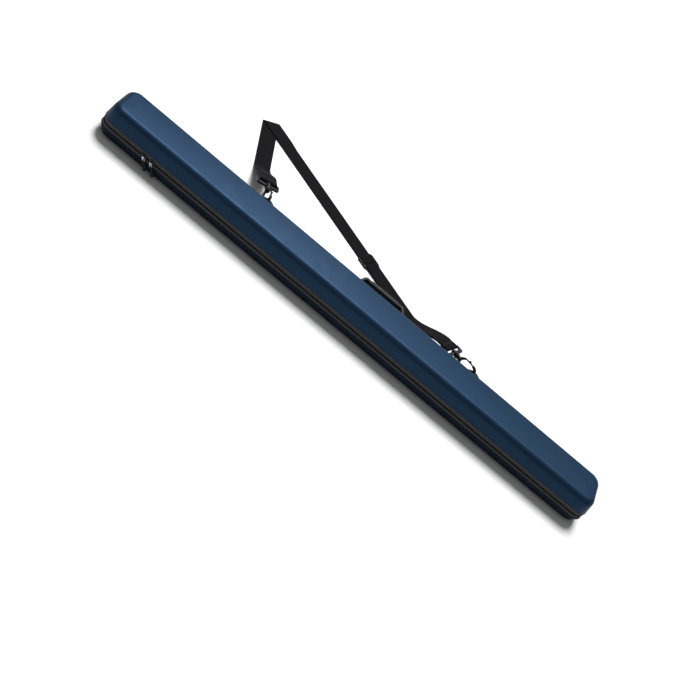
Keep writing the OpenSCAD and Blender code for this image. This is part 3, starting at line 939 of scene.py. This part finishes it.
def folded_run(steps=22, turn_steps=6):
    """Along the floor to the fold, and over it: the crease lies at a slant to both legs."""
    rows = []
    for k in range(1, steps + 1):
        share = k / steps
        rows.append([
            left.at(TOUCH_DOWN + share * (crease_distance(left, o) - FOLD_GAP - TOUCH_DOWN), o, FLOOR)
            for o in OFFSETS
        ])
    for k in range(1, turn_steps):
        angle = pi * k / turn_steps
        bulge = FOLD_GAP * (sin(angle) - 1)
        z = FLOOR + FOLD_LIFT * (1 - cos(angle)) / 2
        rows.append([left.at(crease_distance(left, o) + bulge, o, z) for o in OFFSETS])
    return rows


def far_leg(steps=60):
    """From the fold to the adjuster, first on top of the other leg, and then through the slide."""
    end = ADJUSTER + 19
    flipped = [-o for o in OFFSETS]
    tops = [crease_distance(right, o) - FOLD_GAP for o in flipped]
    rows = []
    for k in range(steps + 1):
        share = k / steps
        z = FLOOR + FOLD_LIFT * ease(1 - (share - 0.12) / 0.1)
        rows.append([right.at(top + share * (end - top), o, z) for top, o in zip(tops, flipped)])
    through = [(17, 2.2), (15, 4.2), (12, 5.2), (9, 4.4), (6.5, 3), (4.5, 3), (2.6, 4.4), (0, 5.2),
               (-2.6, 4.4), (-4.2, 3), (-5.4, 2)]
    return rows + [right.row(ADJUSTER + x, z, flipped) for x, z in through]


def main_strap():
    """The long webbing, from its sewn tail at the left ring, over the fold, to the adjuster."""
    rows = sewn_tail() + folded_run() + far_leg()
    lengths = run_lengths(rows)
    piece = ribbon("long_webbing", rows, lengths)
    start = Vector(left.at(LIFT_OFF, 0, FLOOR))
    bend_webbing(piece, start, start - (LIFT_OFF - HELD) * Vector((0.2, 0.98, 0)))
    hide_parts("main_webbing")
    return lengths[-1]


def short_strap():
    """A sewn loop of webbing from the right ring to the adjuster."""
    upper_floor = FLOOR + WEB_THICK + 0.1
    far = ADJUSTER - 15
    flat = [TOUCH_DOWN + (far - 6 - TOUCH_DOWN) * k / 10 for k in range(1, 11)]
    under = [(far - 1.5, FLOOR)] + [(d, FLOOR) for d in reversed(flat)]
    under += reversed(right.descent(-1.1, FLOOR, 24))
    under += right.near_bar([(14, -1.1), (9, -2.1), (4, -3.0)])
    over = right.near_bar([(4, 3.0), (9, 2.1), (14, 1.1)])
    over += right.descent(1.1, upper_floor, 24) + [(d, upper_floor) for d in flat]
    over += [(far - 2, 4.2), (far + 1, 5.2), (far + 5, 5.2), (far + 7.4, 4), (far + 8, 2.6)]
    rows = [right.row(d, z) for d, z in under + right.round_bar() + over]
    lengths = run_lengths(rows)
    piece = ribbon("short_webbing_loop", rows, lengths)
    held, height = right.by_ring(HELD, 0)
    bend_webbing(piece, Vector(right.at(LIFT_OFF, 0, FLOOR)), Vector(right.at(held, 0, height)))
    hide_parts("short_webbing")
    return lengths[-1]


def adjuster():
    """The moulded three-bar slide that the long webbing passes through."""
    turn = Matrix.Rotation(atan2(right.along.y, right.along.x), 4, "Z")
    place = Matrix.Translation(right.at(ADJUSTER, 0, 0.1)) @ turn
    outer = rounded_rectangle(15, 23, 4.5)
    holes = [rounded_rectangle(3.5, WEBBING / 2 + 1, 1.2, 4, (x, 0)) for x in (-5.5, 5.5)]
    piece = round_edges(plate("three_bar_slide", outer, 0, 4, HOOK, place, holes), 1.1, 4)
    stand_for(piece, "root", "hook_plastic", "strap_adjuster")


def stitches(name, leg, body, lift, count=15):
    """Two rows of short thread stitches across the webbing, next to its ring."""
    half, margin = 0.95, 6
    path = [(-half, 0), (-0.5, 0), (0, 0), (0.5, 0), (half, 0)]
    spin = Matrix.Rotation(atan2(leg.across.y, leg.across.x), 4, "Z")
    pieces = []
    for distance in (BAR_X + 10, BAR_X + 12.5):
        z = leg.by_ring(distance, 0)[1] + lift
        for k in range(count):
            offset = (WEBBING - margin) * (k / (count - 1) - 0.5)
            place = Matrix.Translation(leg.at(distance, offset, z)) @ spin
            pieces.append(tube("stitch", path, lambda t: 0.25 + 0.2 * sin(pi * t), THREAD, place, 6))
    return stand_for(join(name, pieces), body, "webbing")


strap_length = main_strap()
short_length = short_strap()
adjuster()
stitches("left_stitching", left, "left_ring", 2.1)
stitches("right_stitching", right, "right_ring", 2.9)
print("webbing lengths, mm:", round(strap_length), round(short_length))


# ---- Floor, lights and camera ----

def link(name, data):
    made = bpy.data.objects.new(name, data)
    bpy.context.scene.collection.objects.link(made)
    return made


def aim(direction):
    return direction.to_track_quat("-Z", "Y").to_euler()


def area_light(name, place, target, size, power):
    data = bpy.data.lights.new(name, "AREA")
    data.shape, data.size, data.size_y = "RECTANGLE", size[0], size[1]
    data.energy = power
    lamp = link(name, data)
    lamp.location = place
    lamp.rotation_euler = aim(Vector(target) - Vector(place))


def studio():
    """A white paper floor, a soft sun from the spine side, and two soft lamps on the skin."""
    floor = bpy.data.meshes.new("floor")
    reach = 30
    corners = [(-reach, -reach, 0), (reach, -reach, 0), (reach, reach, 0), (-reach, reach, 0)]
    floor.from_pydata(corners, [], [(0, 1, 2, 3)])
    paper = Surface("floor_paper", (0.86, 0.86, 0.86), 0.9)
    paper.tint(paper.span(paper.noise(3, 2), 0.3, 0.7, 0, 0.2), (0.9, 0.9, 0.9))
    floor.materials.append(paper.material)
    link("floor", floor)
    world = bpy.data.worlds.new("studio")
    bpy.context.scene.world = world
    world.use_nodes = True
    background = world.node_tree.nodes["Background"]
    background.inputs["Color"].default_value = (1, 1, 1, 1)
    background.inputs["Strength"].default_value = 0.22
    sun = bpy.data.lights.new("soft_key", "SUN")
    sun.energy, sun.angle = 3.8, radians(25)
    link("soft_key", sun).rotation_euler = aim(Vector((0.05, -0.55, -1)))
    area_light("streak", (-0.42, 0.3, 1.1), (-0.42, -0.03, 0.07), (0.5, 0.05), 1.6)
    area_light("glow", (-0.12, 1.1, 1.0), (-0.12, 0, 0.05), (0.5, 0.35), 3)
    bpy.context.scene.view_settings.view_transform = "Standard"


def camera():
    """The photographed view: from the zip side, 35 degrees up, rolled by 44 degrees."""
    elevation, azimuth, roll = radians(35.33), radians(7.13), radians(44.05)
    distance, focal, width = 2.5, 1295, 700
    view = Vector((sin(azimuth) * cos(elevation), cos(azimuth) * cos(elevation), -sin(elevation)))
    across = view.cross(Vector((0, 0, 1))).normalized()
    up = across.cross(view)
    image_x = cos(roll) * across + sin(roll) * up
    image_y = -sin(roll) * across + cos(roll) * up
    data = bpy.data.cameras.new("camera")
    data.sensor_width = 36
    data.lens = focal / width * data.sensor_width
    data.shift_x, data.shift_y = -0.0095, -0.0574
    data.clip_end = 200
    made = link("camera", data)
    turn = Matrix((image_x, image_y, -view)).transposed().to_4x4()
    made.matrix_world = Matrix.Translation(Vector((0, 0, DEPTH / 2 * MM)) - distance * view) @ turn
    bpy.context.scene.camera = made


studio()
camera()
